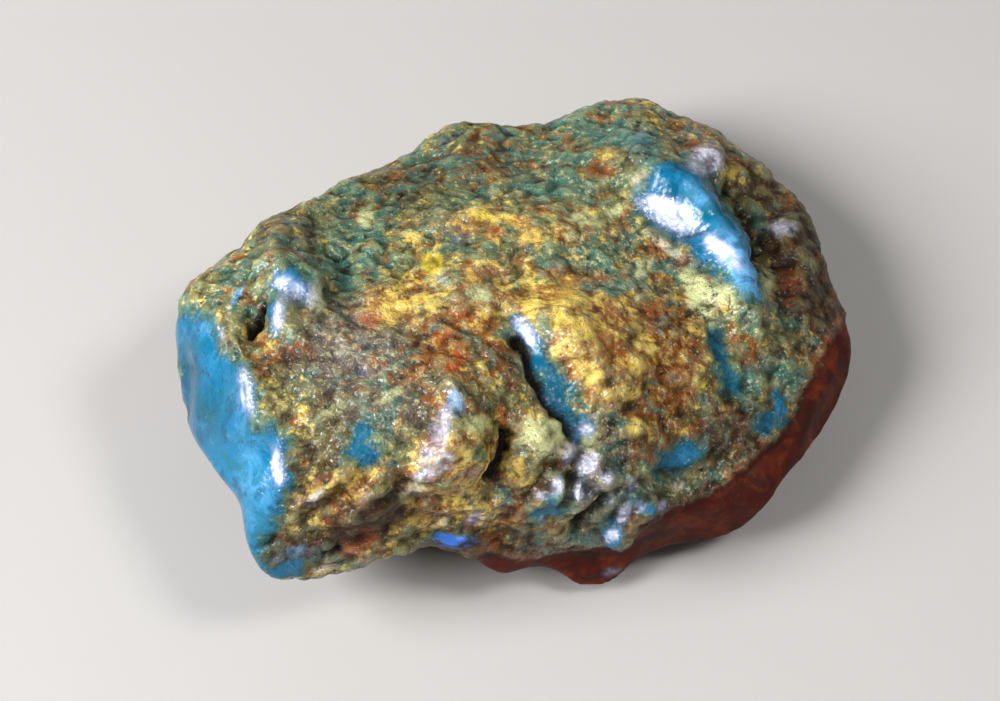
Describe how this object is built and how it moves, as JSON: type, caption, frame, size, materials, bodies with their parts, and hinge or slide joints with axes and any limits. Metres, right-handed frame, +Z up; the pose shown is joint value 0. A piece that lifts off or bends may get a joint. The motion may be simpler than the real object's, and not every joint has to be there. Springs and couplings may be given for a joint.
{
  "type": "rough amber nugget",
  "caption": "Rough blue amber nugget: knobbly crusted lump with a fresh glossy blue break at one end, a long groove and a worn flat underside.",
  "frame": {"origin": "centre of the bounding box, on the surface the nugget lies on", "axes": "+X end to end with the fresh blue break at the -X end, +Y to the back, +Z up"},
  "size_m": [0.052, 0.0476, 0.0223],
  "materials": {
    "amber": "wet-looking gloss over a mottled olive, gold, rust and teal crust, clear blue-looking resin where it is freshly broken"
  },
  "bodies": {
    "root": {"amber_nugget": "amber"}
  },
  "joints": []
}
